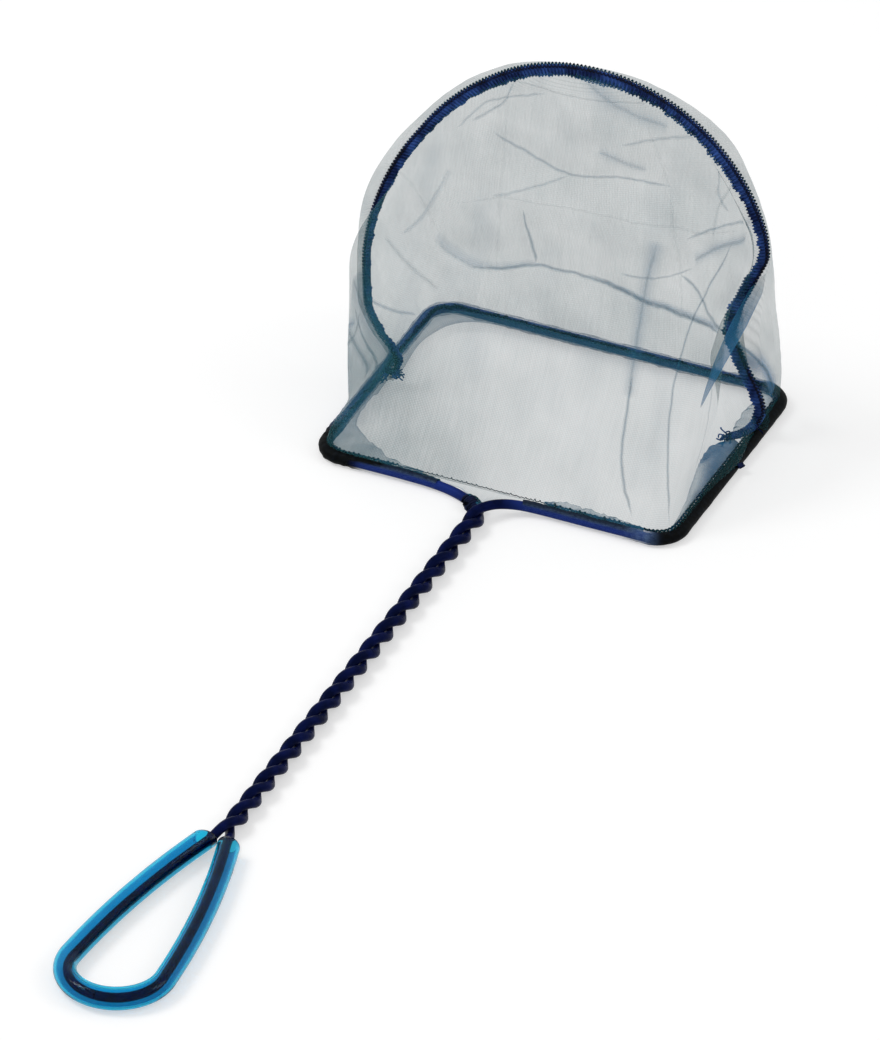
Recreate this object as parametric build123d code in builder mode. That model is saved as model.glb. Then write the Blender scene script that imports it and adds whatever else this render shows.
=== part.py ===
from build123d import *
import os
from math import cos, pi, radians, sin, sqrt, tan

# Aquarium fish net, in millimetres. The hoop lies on the table, the bag stands up and the handle runs along -Y.

# Vinyl-coated steel wire, bent from one length
wire_diameter = 2.6

# Hoop that holds the mouth open, measured between wire centres
mouth_width = 100.0
mouth_depth = 75.0
corner_radius = 7.0
left_flare_start = 24.0  # from the handle's axis to where the front rail starts to bend towards the handle
right_flare_start = 17.0
flare_drop = 9.0  # from the front rail to the first crossing of the twist

# Handle, the wire's two legs twisted together
twist_pitch = 16.0
twist_half_turns = 19
strand_gap = 0.12
neck_length = 8.0  # from the last crossing to the sleeve's open ends

# Finger loop and the clear sleeve that is pushed over it
sleeve_diameter = 6.0
sleeve_wall = 0.8
sleeve_end_gap = 0.8  # between the sleeve's two open ends
loop_length = 72.0  # along the handle, from the sleeve's open ends to its far bend
loop_end_radius = 13.0
arm_lean = 3.0  # degrees round the far bend at which the arms leave it
wire_inset = 0.5  # the loose wire lies towards the inside of the sleeve
wire_end_gap = 2.0  # between the wire's two cut ends, inside the sleeve's far bend

# Net bag, two panels sewn together along an arch
net_thickness = 0.4
bag_height = 109.0
bag_half_width = 54.0
arch_rise = 65.0  # from the arch's widest level to its top
arch_foot_half_width = 50.0
arch_turn = 9.6  # degrees about the vertical, so that the right foot is sewn further from the handle than the left
arch_setback = 8.5  # from the middle of the mouth to the middle of the arch
turn_onset = 0.7  # 1 turns the bag evenly from rails to arch, less turns it sooner
crown_half_depth = 2.0  # from the arch's plane to a panel's outside at the top
panel_belly = 1.2  # 1 is a straight slope from rail to arch, more is fuller
rail_squareness = 14.0  # power of the bag's cut at the rails, where 2 is an ellipse and more is nearer a rectangle
front_squareness = 1.9  # at the arch, on the handle's side, where the net is drawn tight
rear_squareness = 3.1
square_fade = 4  # more makes the cut lose its square corners sooner above the rails
leg_steps = 5  # cuts across the bag below the arch's widest level
crown_steps = 9
crown_angle = 79.0  # degrees up the half ellipse of the arch where the panels end under the seam
panel_edge_gap = 0.2  # from the arch's plane to a panel's sewn edge
panel_seat_gap = 0.5  # from the top of the hems to the panels

# Creases of a net that was packed flat: points across and up a panel, and how far the net stands out along them
waist_crease = ((-34, 58), (-3, 59), (28, 56), (48, 49))
crown_crease = ((-23, 88), (2, 81), (30, 81))
middle_pleat = ((28, 68), (28, 47), (32, 18))
corner_pleat = ((46, 66), (40, 44), (44, 18))
front_creases = {waist_crease: -2.5, crown_crease: -2.0, middle_pleat: 2.5, corner_pleat: 2.5}
rear_waist_crease = ((-40, 44), (-8, 52), (24, 48), (42, 56))
rear_left_pleat = ((-22, 84), (-26, 50), (-32, 18))
rear_right_pleat = ((16, 86), (22, 54), (20, 18))
rear_creases = {rear_waist_crease: -2.5, rear_left_pleat: 2.5, rear_right_pleat: 2.0}
crease_reach = 11.0  # from a crease to where the net lies plain again

# Hems, the panels' lower edges turned over the rails
hem_wall = 0.4
hem_clearance = 0.1
hem_foot_gap = 1.0  # from the arch's plane to a hem's end

# Thread
seam_width = 4.0
seam_thickness = 1.2
seam_clearance = 0.7
thread_diameter = 0.5
thread_clearance = 0.05
stitch_angle = 45.0  # round the rail, from its inner side up to the line of stitches

# Flats that stand for the round of each swept piece, so that the long twist stays light
wire_sides = 7
sleeve_sides = 8
hem_sides = 8
thread_sides = 6
panel_sides = 10  # across a panel
wall_sides = 6  # across the side of the bag

# Worked out from the sizes above
wire_radius = wire_diameter / 2
strand_radius = wire_radius + strand_gap / 2
hem_bore_radius = wire_radius + hem_clearance
hem_radius = hem_bore_radius + hem_wall
sleeve_radius = sleeve_diameter / 2
sleeve_bore_radius = sleeve_radius - sleeve_wall
rail_height = hem_radius
handle_height = strand_radius + wire_radius
twist_length = twist_half_turns * twist_pitch / 2

rear_reach = mouth_depth / 2 + hem_radius
front_reach = mouth_depth / 2 + flare_drop + twist_length + neck_length + loop_length + sleeve_radius
mouth_y = (front_reach - rear_reach) / 2
front_rail_y = mouth_y - mouth_depth / 2
rear_rail_y = mouth_y + mouth_depth / 2
twist_start_y = front_rail_y - flare_drop
twist_end_y = twist_start_y - twist_length
sleeve_start_y = twist_end_y - neck_length
loop_end_y = sleeve_start_y - loop_length

panel_bottom = rail_height + hem_radius + panel_seat_gap
arch_centre_height = bag_height - arch_rise
leg_height = arch_centre_height - panel_bottom
leg_lean = bag_half_width - arch_foot_half_width
leg_radius = (leg_height**2 + leg_lean**2) / (2 * leg_lean)

side_rail_x = mouth_width / 2
left_foot_y = mouth_y + arch_setback - side_rail_x * tan(radians(arch_turn))
right_foot_y = mouth_y + arch_setback + side_rail_x * tan(radians(arch_turn))


def biarc_joint(start, leave, end, arrive):
    """Point where two arcs meet smoothly between a start and an end with given directions."""
    chord = end - start
    both = leave + arrive
    spread = 2 * (1 - leave.dot(arrive))
    along = chord.dot(both)
    reach = (sqrt(along**2 + spread * chord.dot(chord)) - along) / spread
    return (start + leave * reach + end - arrive * reach) * 0.5


def add_biarc(start, leave, end, arrive):
    """Two tangent arcs from a start to an end, in the line that is being built."""
    joint = biarc_joint(start, leave, end, arrive)
    first = TangentArc(start, joint, tangent=leave)
    TangentArc(joint, end, tangent=first % 1)


def strand_point(quarter, start_angle):
    """Centre of a strand a number of quarter turns after the first crossing, and its direction there."""
    angle = radians(start_angle + 90 * quarter)
    slope = 2 * pi * strand_radius / twist_pitch
    centre = Vector(
        strand_radius * cos(angle),
        twist_start_y - quarter * twist_pitch / 4,
        handle_height + strand_radius * sin(angle),
    )
    direction = Vector(-slope * sin(angle), -1, slope * cos(angle)).normalized()
    return centre, direction


def flare_ends(side):
    """Start and end of the bend from the front rail to the first crossing, with their directions."""
    flare_start = right_flare_start if side > 0 else left_flare_start
    start = Vector(side * flare_start, front_rail_y, rail_height)
    crossing, direction = strand_point(0, side * 90)
    return start, Vector(-side, 0, 0), crossing, direction


def add_strand(start_angle):
    """One strand of the twist, a quarter turn at a time."""
    for quarter in range(2 * twist_half_turns):
        start, leave = strand_point(quarter, start_angle)
        end, arrive = strand_point(quarter + 1, start_angle)
        add_biarc(start, leave, end, arrive)


def round_section(line, radius, sides, bore_radius=0):
    """Cut across a level line at its start, round but for a few flats, with one of them underneath."""
    turn = 180 / sides
    with BuildSketch(Plane(origin=line @ 0, x_dir=(0, 0, 1), z_dir=line % 0)) as section:
        RegularPolygon(radius, sides, major_radius=False, rotation=turn)
        if bore_radius:
            RegularPolygon(bore_radius, sides, major_radius=False, rotation=turn, mode=Mode.SUBTRACT)
    return section.sketch


def add_loop_half(side, inset, height, end_gap):
    """Half of the finger loop: its far bend and one arm. Returns the arm's top and the direction down it."""
    radius = loop_end_radius - inset
    centre_y = loop_end_y + loop_end_radius
    lean = radians(arm_lean)
    end_angle = end_gap / 2 / radius
    tip = Vector(side * radius * sin(end_angle), centre_y - radius * cos(end_angle), height)
    shoulder = Vector(side * radius * cos(lean), centre_y + radius * sin(lean), height)
    top = Vector(side * (sleeve_radius + sleeve_end_gap / 2 - inset), sleeve_start_y, height)
    up_the_arm = Vector(-side * sin(lean), cos(lean), 0)
    TangentArc(shoulder, tip, tangent=up_the_arm * -1)
    arm = TangentArc(shoulder, top, tangent=up_the_arm)
    return top, (arm % 1) * -1


# Wire: loop, twist, hoop, twist and loop again, in one length
with BuildPart() as wire_frame:
    with BuildLine() as wire_path:
        FilletPolyline(
            (-left_flare_start, front_rail_y, rail_height),
            (-side_rail_x, front_rail_y, rail_height),
            (-side_rail_x, rear_rail_y, rail_height),
            (side_rail_x, rear_rail_y, rail_height),
            (side_rail_x, front_rail_y, rail_height),
            (right_flare_start, front_rail_y, rail_height),
            radius=corner_radius,
        )
        for side in (-1, 1):
            add_biarc(*flare_ends(side))
            add_strand(side * 90)
            crossing, leave = strand_point(2 * twist_half_turns, side * 90)
            arm_side = 1 if leave.X > 0 else -1
            top, arrive = add_loop_half(arm_side, wire_inset, handle_height, wire_end_gap)
            add_biarc(crossing, leave, top, arrive)
    wire_line = wire_path.wire()
    sweep(round_section(wire_line, wire_radius * cos(pi / wire_sides), wire_sides), path=wire_line, clean=False)

# Clear sleeve over the finger loop
with BuildPart() as grip_sleeve:
    with BuildLine() as sleeve_path:
        add_loop_half(-1, 0, sleeve_radius, 0)
        add_loop_half(1, 0, sleeve_radius, 0)
    sleeve_line = sleeve_path.wire()
    sweep(round_section(sleeve_line, sleeve_radius, sleeve_sides, sleeve_bore_radius), path=sleeve_line)


def bag_half_width_at(height):
    """Half width of the arch at a height: a half ellipse on two legs that lean out."""
    rise = height - arch_centre_height
    if rise > 0:
        return bag_half_width * sqrt(1 - (rise / arch_rise) ** 2)
    return bag_half_width - leg_radius + sqrt(leg_radius**2 - rise**2)


def crease_lift(creases, place):
    """How far a panel stands out at a place across and up it: most on a crease, nothing beyond its reach."""
    lift = 0
    for line, stand_out in creases.items():
        gap = crease_reach
        for start, end in zip(line, line[1:]):
            run = Vector(end) - Vector(start)
            along = (place - Vector(start)).dot(run) / run.dot(run)
            gap = min(gap, (Vector(start) + run * min(max(along, 0), 1) - place).length)
        lift += stand_out * (1 - gap / crease_reach)
    return lift


def bag_ring(height, inset):
    """Corners of a cut across the bag at a height: a squarish ellipse that turns and narrows towards the arch."""
    share = (height - panel_bottom) / (bag_height - panel_bottom)
    turned = share**turn_onset
    rail_half_depth = (mouth_depth + net_thickness) / 2
    half_width = bag_half_width_at(height) + net_thickness / 2
    half_depth = crown_half_depth + (rail_half_depth - crown_half_depth) * (1 - share**panel_belly)
    turn = radians(arch_turn * turned)
    plane = Plane((0, mouth_y + arch_setback * turned, height), x_dir=(cos(turn), sin(turn), 0))
    ring = []
    for across, along in bag_directions:
        creases = rear_creases if along > 0 else front_creases
        arch_power = rear_squareness if along > 0 else front_squareness
        power = arch_power + (rail_squareness - arch_power) * (1 - share) ** square_fade
        reach = (abs(across) ** power + abs(along) ** power) ** (-1 / power)
        x = across * reach * half_width
        y = along * reach * half_depth
        out_x = across * abs(across) ** (power - 2) / half_width if across else 0
        out_y = along * abs(along) ** (power - 2) / half_depth if along else 0
        outward = Vector(out_x, out_y).normalized()
        lift = crease_lift(creases, Vector(x, height)) * abs(outward.Y)
        ring.append(plane.from_local_coords(Vector(x, y, 0) + outward * (lift - inset)))
    return ring


def bag_form(inset):
    """The bag's outside, or its inside at an inset, as a solid with two flats in each step between its rings."""
    rings = [bag_ring(height, inset) for height in bag_heights]
    faces = [Face(Wire.make_polygon(ring)) for ring in (rings[0], rings[-1])]
    for lower, upper in zip(rings, rings[1:]):
        for corner in range(len(lower)):
            faces.append(Face(Wire.make_polygon((lower[corner - 1], lower[corner], upper[corner]))))
            faces.append(Face(Wire.make_polygon((lower[corner - 1], upper[corner], upper[corner - 1]))))
    return Solid(Shell(faces))


bag_directions = [(2 * step / panel_sides - 1, -1) for step in range(panel_sides)]
bag_directions += [(1, 2 * step / wall_sides - 1) for step in range(wall_sides)]
bag_directions += [(-across, -along) for across, along in bag_directions]
leg_heights = [panel_bottom + leg_height * step / leg_steps for step in range(leg_steps)]
crown_angles = [crown_angle * step / crown_steps for step in range(crown_steps + 1)]
crown_heights = [arch_centre_height + arch_rise * sin(radians(angle)) for angle in crown_angles]
bag_heights = leg_heights + crown_heights
turn_direction = (cos(radians(arch_turn)), sin(radians(arch_turn)), 0)
front_direction = (sin(radians(arch_turn)), -cos(radians(arch_turn)), 0)
arch_plane = Plane((0, mouth_y + arch_setback, 0), x_dir=turn_direction, z_dir=front_direction)

# Whole bag, before it is cut along the arch
with BuildPart() as net_bag:
    add(bag_form(0))
    add(bag_form(net_thickness), mode=Mode.SUBTRACT)

# Front panel of the net, on the handle's side of the arch
with BuildPart() as front_panel:
    add(net_bag.part)
    split(bisect_by=arch_plane.offset(panel_edge_gap), keep=Keep.TOP)

# Rear panel
with BuildPart() as rear_panel:
    add(net_bag.part)
    split(bisect_by=arch_plane.offset(-panel_edge_gap), keep=Keep.BOTTOM)


def add_arch_line(inset):
    """The arch from its left foot to its right foot, drawn in by an inset."""
    half_width = bag_half_width - inset
    foot = arch_foot_half_width - inset
    centre = (0, arch_centre_height)
    left = TangentArc((-half_width, arch_centre_height), (-foot, panel_bottom), tangent=(0, -1))
    EllipticalCenterArc(centre, half_width, arch_rise - inset, start_angle=0, arc_size=180)
    right = TangentArc((half_width, arch_centre_height), (foot, panel_bottom), tangent=(0, -1))
    return left @ 1, right @ 1


# Overlocked seam that joins the two panels along the arch, on the inside
seam_outer_inset = net_thickness / 2 + seam_clearance
with BuildPart() as arch_seam:
    with BuildSketch(arch_plane):
        with BuildLine():
            outer_left, outer_right = add_arch_line(seam_outer_inset)
            inner_left, inner_right = add_arch_line(seam_outer_inset + seam_width)
            Line(outer_left, inner_left)
            Line(outer_right, inner_right)
        make_face()
    extrude(amount=seam_thickness / 2, both=True)


# Rear hem, from one foot of the arch round the rear rail to the other
with BuildPart() as rear_hem:
    with BuildLine() as rear_hem_path:
        FilletPolyline(
            (-side_rail_x, left_foot_y + hem_foot_gap, rail_height),
            (-side_rail_x, rear_rail_y, rail_height),
            (side_rail_x, rear_rail_y, rail_height),
            (side_rail_x, right_foot_y + hem_foot_gap, rail_height),
            radius=corner_radius,
        )
    rear_hem_line = rear_hem_path.wire()
    sweep(round_section(rear_hem_line, hem_radius, hem_sides, hem_bore_radius), path=rear_hem_line)


def add_front_hem_line(side):
    """Half of the front hem's line, from a foot of the arch to where the rail turns away to the handle."""
    start, leave, end, arrive = flare_ends(side)
    foot_y = right_foot_y if side > 0 else left_foot_y
    FilletPolyline(
        (side * side_rail_x, foot_y - hem_foot_gap, rail_height),
        (side * side_rail_x, front_rail_y, rail_height),
        start,
        radius=corner_radius,
    )
    TangentArc(start, biarc_joint(start, leave, end, arrive), tangent=leave)


with BuildPart() as front_left_hem:
    with BuildLine() as left_hem_path:
        add_front_hem_line(-1)
    left_hem_line = left_hem_path.wire()
    sweep(round_section(left_hem_line, hem_radius, hem_sides, hem_bore_radius), path=left_hem_line)

with BuildPart() as front_right_hem:
    with BuildLine() as right_hem_path:
        add_front_hem_line(1)
    right_hem_line = right_hem_path.wire()
    sweep(round_section(right_hem_line, hem_radius, hem_sides, hem_bore_radius), path=right_hem_line)

# Lines of stitches that close the hems, on the inside of the rails
thread_radius = thread_diameter / 2
stitch_reach = hem_radius + thread_clearance + thread_radius
stitch_inset = stitch_reach * cos(radians(stitch_angle))
stitch_height = rail_height + stitch_reach * sin(radians(stitch_angle))


def add_stitch_line(rail_y, foot_gap):
    """Line of stitches from one foot of the arch round a front or rear rail to the other foot."""
    inner_x = side_rail_x - stitch_inset
    FilletPolyline(
        (-inner_x, left_foot_y + foot_gap, stitch_height),
        (-inner_x, rail_y, stitch_height),
        (inner_x, rail_y, stitch_height),
        (inner_x, right_foot_y + foot_gap, stitch_height),
        radius=corner_radius - stitch_inset,
    )


with BuildPart() as front_hem_stitching:
    with BuildLine() as front_stitch_path:
        add_stitch_line(front_rail_y + stitch_inset, -hem_foot_gap - seam_thickness)
    front_stitch_line = front_stitch_path.wire()
    sweep(round_section(front_stitch_line, thread_radius, thread_sides), path=front_stitch_line)

with BuildPart() as rear_hem_stitching:
    with BuildLine() as rear_stitch_path:
        add_stitch_line(rear_rail_y - stitch_inset, hem_foot_gap + seam_thickness)
    rear_stitch_line = rear_stitch_path.wire()
    sweep(round_section(rear_stitch_line, thread_radius, thread_sides), path=rear_stitch_line)

pieces = {
    "wire_frame": wire_frame,
    "grip_sleeve": grip_sleeve,
    "front_panel": front_panel,
    "rear_panel": rear_panel,
    "arch_seam": arch_seam,
    "front_left_hem": front_left_hem,
    "front_right_hem": front_right_hem,
    "rear_hem": rear_hem,
    "front_hem_stitching": front_hem_stitching,
    "rear_hem_stitching": rear_hem_stitching,
}

os.makedirs("parts", exist_ok=True)
for name, piece in pieces.items():
    piece.part.label = name
    export_step(piece.part, f"parts/{name}.step")
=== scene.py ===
import bpy
import numpy as np
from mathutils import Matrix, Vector


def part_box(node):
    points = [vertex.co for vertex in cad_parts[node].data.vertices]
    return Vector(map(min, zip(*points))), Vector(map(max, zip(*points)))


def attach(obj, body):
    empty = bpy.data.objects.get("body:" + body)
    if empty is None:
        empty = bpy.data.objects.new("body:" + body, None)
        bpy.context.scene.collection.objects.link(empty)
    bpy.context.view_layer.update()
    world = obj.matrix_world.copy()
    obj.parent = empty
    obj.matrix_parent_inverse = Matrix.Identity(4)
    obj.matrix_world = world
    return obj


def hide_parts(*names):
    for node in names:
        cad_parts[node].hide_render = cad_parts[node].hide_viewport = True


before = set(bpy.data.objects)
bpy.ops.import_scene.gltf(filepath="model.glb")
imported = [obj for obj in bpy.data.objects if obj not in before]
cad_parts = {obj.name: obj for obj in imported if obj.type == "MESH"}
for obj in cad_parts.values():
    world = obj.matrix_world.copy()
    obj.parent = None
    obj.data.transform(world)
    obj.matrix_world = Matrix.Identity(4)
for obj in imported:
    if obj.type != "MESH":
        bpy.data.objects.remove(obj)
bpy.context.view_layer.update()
mm = 0.001  # sizes below are in millimetres, meshes in metres
print("frame loaded")


# Mesh helpers

def unit(vectors):
    # the same directions at length 1
    return vectors / np.linalg.norm(vectors, axis=-1, keepdims=True)


def smooth(t):
    # eases from 0 to 1 between its ends
    t = np.clip(t, 0, 1)
    return t * t * (3 - 2 * t)


def lengthAlong(line):
    # distance of each point of a line from its first, along the line
    return np.concatenate([[0], np.cumsum(np.linalg.norm(np.diff(line, axis=0), axis=1))])


def between(wanted, spots, values):
    # straight runs between rows of values that stand at the given spots
    return np.stack([np.interp(wanted, spots, values[:, k]) for k in range(values.shape[1])], -1)


def around(sides):
    # even angles of a full turn
    return np.linspace(0, 2 * np.pi, sides, endpoint=False)


def averaging(count):
    # weights of a moving average that fade towards both ends
    return np.hanning(count) / np.hanning(count).sum()


def gridFaces(index):
    # one quad for each cell of a grid of point numbers
    return np.stack([index[:-1, :-1], index[:-1, 1:], index[1:, 1:], index[1:, :-1]], -1).reshape(-1, 4)


def capFaces(index, sides):
    # the two end polygons of a tube
    return [index[0, :sides][::-1].tolist(), index[-1, :sides].tolist()]


def addGrid(name, points, aroundClosed=False, alongClosed=False, capped=False, uv=None, values=None):
    # points is rows x columns x 3, in mm; each cell between neighbouring rows and columns is one quad
    rows, columns = points.shape[:2]
    index = np.arange(rows * columns).reshape(rows, columns)
    if aroundClosed:
        index = np.concatenate([index, index[:, :1]], 1)
    if alongClosed:
        index = np.concatenate([index, index[:1]], 0)
    faces = gridFaces(index).tolist()
    if capped:
        faces += capFaces(index, columns)
    return addMesh(name, points.reshape(-1, 3), faces, uv, values)


def addMesh(name, points, faces, uv=None, values=None):
    # smooth mesh from points in mm, with a UV map in metres and a value at each point where they are given
    mesh = bpy.data.meshes.new(name)
    mesh.from_pydata((points * mm).tolist(), [], faces)
    mesh.polygons.foreach_set("use_smooth", np.ones(len(mesh.polygons), bool))
    if uv is not None:
        corners = np.empty(len(mesh.loops), np.int32)
        mesh.loops.foreach_get("vertex_index", corners)
        layer = mesh.uv_layers.new(name="UVMap")
        layer.data.foreach_set("uv", (uv.reshape(-1, 2) * mm)[corners].astype(np.float32).ravel())
    for key, value in (values or {}).items():
        attribute = mesh.attributes.new(key, "FLOAT", "POINT")
        attribute.data.foreach_set("value", value.astype(np.float32).ravel())
    mesh.update()
    piece = bpy.data.objects.new(name, mesh)
    bpy.context.scene.collection.objects.link(piece)
    return piece


def tubeRings(path, radius, sides, reference, stretch=1.0):
    # a circle carried along a path; the reference direction keeps the circles from spinning
    tangent = unit(np.gradient(path, axis=0))
    first = unit(reference - (tangent @ reference)[:, None] * tangent)
    second = np.cross(tangent, first)
    angle = around(sides)
    radius = np.broadcast_to(np.asarray(radius, float), len(path))[:, None, None]
    ring = np.cos(angle)[None, :, None] * first[:, None] * stretch + np.sin(angle)[None, :, None] * second[:, None]
    return path[:, None] + radius * ring


def addTube(name, path, radius, sides, reference, **extra):
    # circles along a path, closed at both ends, with the path's length and the girth as UV
    reference = np.asarray(reference, float)
    along = lengthAlong(path)
    girth = np.linspace(0, 1, sides, endpoint=False) * 2 * np.pi * np.max(radius)
    uv = np.stack(np.meshgrid(along, girth, indexing="ij"), -1)
    return addGrid(name, tubeRings(path, radius, sides, reference), aroundClosed=True, capped=True, uv=uv, **extra)


def evenPoints(line, count):
    # the same line with a number of points at an even spacing
    along = lengthAlong(line)
    return between(np.linspace(0, along[-1], count), along, line)


def evenPath(line, step):
    # the same line with points about a step apart
    return evenPoints(line, max(2, int(lengthAlong(line)[-1] / step)))


def bridge(start, leave, end, arrive, pull=1.1, count=40):
    # cubic curve from a start to an end with the given directions
    t = np.linspace(0, 1, count)[:, None]
    reach = np.linalg.norm(end - start) * pull
    return ((2 * t**3 - 3 * t**2 + 1) * start + (t**3 - 2 * t**2 + t) * reach * leave
            + (3 * t**2 - 2 * t**3) * end + (t**3 - t**2) * reach * arrive)


def arcPoints(centre, radius, startAngle, endAngle, height, count=40):
    # level circle arc between two angles in degrees
    angle = np.radians(np.linspace(startAngle, endAngle, count))
    return np.stack([centre[0] + radius * np.cos(angle), centre[1] + radius * np.sin(angle), 0 * angle + height], -1)


def waves(a, b, count, shortest, longest, seed):
    # sum of sine ripples in random directions, about -1 to 1
    draw = np.random.default_rng(seed)
    heading = draw.uniform(0, np.pi, count)
    length = np.exp(draw.uniform(np.log(shortest), np.log(longest), count))
    phase = draw.uniform(0, 2 * np.pi, count)
    total = 0
    for h, l, p in zip(heading, length, phase):
        total = total + np.sin((a * np.cos(h) + b * np.sin(h)) * 2 * np.pi / l + p)
    return total / np.sqrt(count)


def mount(piece, material, slot, *nodes):
    # finish of a piece, the body it rides on and the nodes it stands for
    piece.data.materials.append(material)
    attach(piece, "root")
    if nodes:
        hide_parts(*nodes)
    return piece


# Material helpers

def newMaterial(name):
    material = bpy.data.materials.new(name)
    material.use_nodes = True
    tree = material.node_tree
    return material, tree, tree.nodes["Principled BSDF"]


def feed(tree, node, sockets):
    # links and constants into a node's sockets
    for key, value in sockets.items():
        if isinstance(value, bpy.types.NodeSocket):
            tree.links.new(value, node.inputs[key])
        else:
            node.inputs[key].default_value = value


def addNode(tree, kind, sockets=None, **settings):
    node = tree.nodes.new(kind)
    for key, value in settings.items():
        setattr(node, key, value)
    feed(tree, node, sockets or {})
    return node


def math(tree, operation, a, b=0.0, c=0.0):
    return addNode(tree, "ShaderNodeMath", {0: a, 1: b, 2: c}, operation=operation).outputs[0]


def noise(tree, spot, scale, detail=3.0, stretch=(1, 1, 1)):
    moved = addNode(tree, "ShaderNodeMapping", {"Vector": spot, "Scale": stretch}).outputs[0]
    return addNode(tree, "ShaderNodeTexNoise", {"Vector": moved, "Scale": scale, "Detail": detail}).outputs["Fac"]


def ramp(tree, value, low, high, toLow, toHigh):
    sockets = {"Value": value, "From Min": low, "From Max": high, "To Min": toLow, "To Max": toHigh}
    return addNode(tree, "ShaderNodeMapRange", sockets).outputs[0]


def mixColours(tree, share, first, second):
    # the colour mix has its share, first and second colour at sockets 0, 6 and 7, and its result at 2
    return addNode(tree, "ShaderNodeMix", {0: share, 6: first, 7: second}, data_type="RGBA").outputs[2]


def bump(tree, height, strength, distance):
    return addNode(tree, "ShaderNodeBump", {"Height": height, "Strength": strength, "Distance": distance}).outputs[0]


def coordinates(tree, kind):
    return addNode(tree, "ShaderNodeTexCoord").outputs[kind]


def carried(tree, name):
    # value that the mesh carries at its points
    return addNode(tree, "ShaderNodeAttribute", attribute_name=name).outputs["Fac"]


def seenDirectly(tree):
    # 1 for what the camera, reflections and clear pieces see
    rays = addNode(tree, "ShaderNodeLightPath").outputs
    mirrored = math(tree, "MAXIMUM", rays["Is Camera Ray"], rays["Is Glossy Ray"])
    return math(tree, "MAXIMUM", mirrored, rays["Is Transmission Ray"])


def wireCoat():
    # dark navy dipped vinyl, a little lumpy and rubbed; the brighter blue on the hoop is painted light, for its lit
    # front rail
    material, tree, shader = newMaterial("wireCoat")
    spot = coordinates(tree, "Object")
    # painted light: the hoop's share, which turns the coat a brighter blue there
    hoop = carried(tree, "hoop")
    lumps = noise(tree, spot, 320.0)
    rubs = noise(tree, spot, 900.0, 6.0)
    dark = mixColours(tree, ramp(tree, lumps, 0.35, 0.7, 0.0, 1.0), (0.002, 0.004, 0.024, 1), (0.004, 0.008, 0.06, 1))
    feed(tree, shader, {
        "Base Color": mixColours(tree, hoop, dark, (0.016, 0.036, 0.21, 1)),
        "Roughness": ramp(tree, rubs, 0.3, 0.75, 0.24, 0.4),
        "IOR": 1.14, "Specular IOR Level": 0.3, "Specular Tint": (0.3, 0.42, 1.0, 1),
        "Normal": bump(tree, lumps, 0.3, 0.0006)})
    return material


def clearVinyl():
    # clear cyan soft tube with a faintly wavy skin
    material, tree, shader = newMaterial("clearVinyl")
    waviness = noise(tree, coordinates(tree, "Object"), 130.0, 2.0)
    feed(tree, shader, {
        "Base Color": mixColours(tree, waviness, (0.004, 0.42, 0.66, 1), (0.02, 0.52, 0.76, 1)),
        "Transmission Weight": 1.0, "IOR": 1.18, "Specular IOR Level": 0.02,
        "Roughness": ramp(tree, waviness, 0.3, 0.7, 0.04, 0.12),
        "Normal": bump(tree, waviness, 0.2, 0.0008)})
    return material


def netMesh(name, cover, foldCover, tone, foldTone):
    # fine knitted net: threads on the cloth's own UV, denser low on the front's left as painted shade,
    # denser and bluer where folds lie double
    material, tree, shader = newMaterial(name)
    cloth = coordinates(tree, "UV")
    fold = carried(tree, "fold")
    leftShade = carried(tree, "leftShade")
    parts = addNode(tree, "ShaderNodeSeparateXYZ", {"Vector": cloth}).outputs
    pitch = 0.00042  # from thread to thread, in metres
    thread = None
    for axis, width in ((0, 0.36), (1, 0.24)):
        cell = math(tree, "PINGPONG", parts[axis], pitch / 2)
        line = ramp(tree, cell, 0.0, pitch / 2 * width * 2, 1.0, 0.0)
        thread = line if thread is None else math(tree, "MAXIMUM", thread, line)
    streaks = noise(tree, cloth, 1.0, 4.0, (1500.0, 90.0, 1.0))
    clouds = noise(tree, cloth, 60.0, 3.0)
    uneven = math(tree, "MULTIPLY", ramp(tree, streaks, 0.25, 0.75, 0.9, 1.1),
                  ramp(tree, clouds, 0.3, 0.7, 0.84, 1.16))
    # painted shade: threads made denser low on the front's left
    density = math(tree, "MULTIPLY", uneven, ramp(tree, leftShade, 0.0, 1.0, 1.0, 1.75))
    knitted = math(tree, "MULTIPLY", ramp(tree, thread, 0.0, 1.0, 0.72, 1.32), cover)
    plain = math(tree, "MULTIPLY", knitted, density)
    alpha = math(tree, "ADD", plain, math(tree, "MULTIPLY", fold, foldCover))
    feed(tree, shader, {
        "Alpha": math(tree, "MINIMUM", alpha, 0.97),
        "Base Color": mixColours(tree, ramp(tree, fold, 0.0, 0.5, 0.0, 1.0), tone, foldTone),
        "Roughness": 0.55, "Specular IOR Level": 0.2})
    return material


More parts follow.
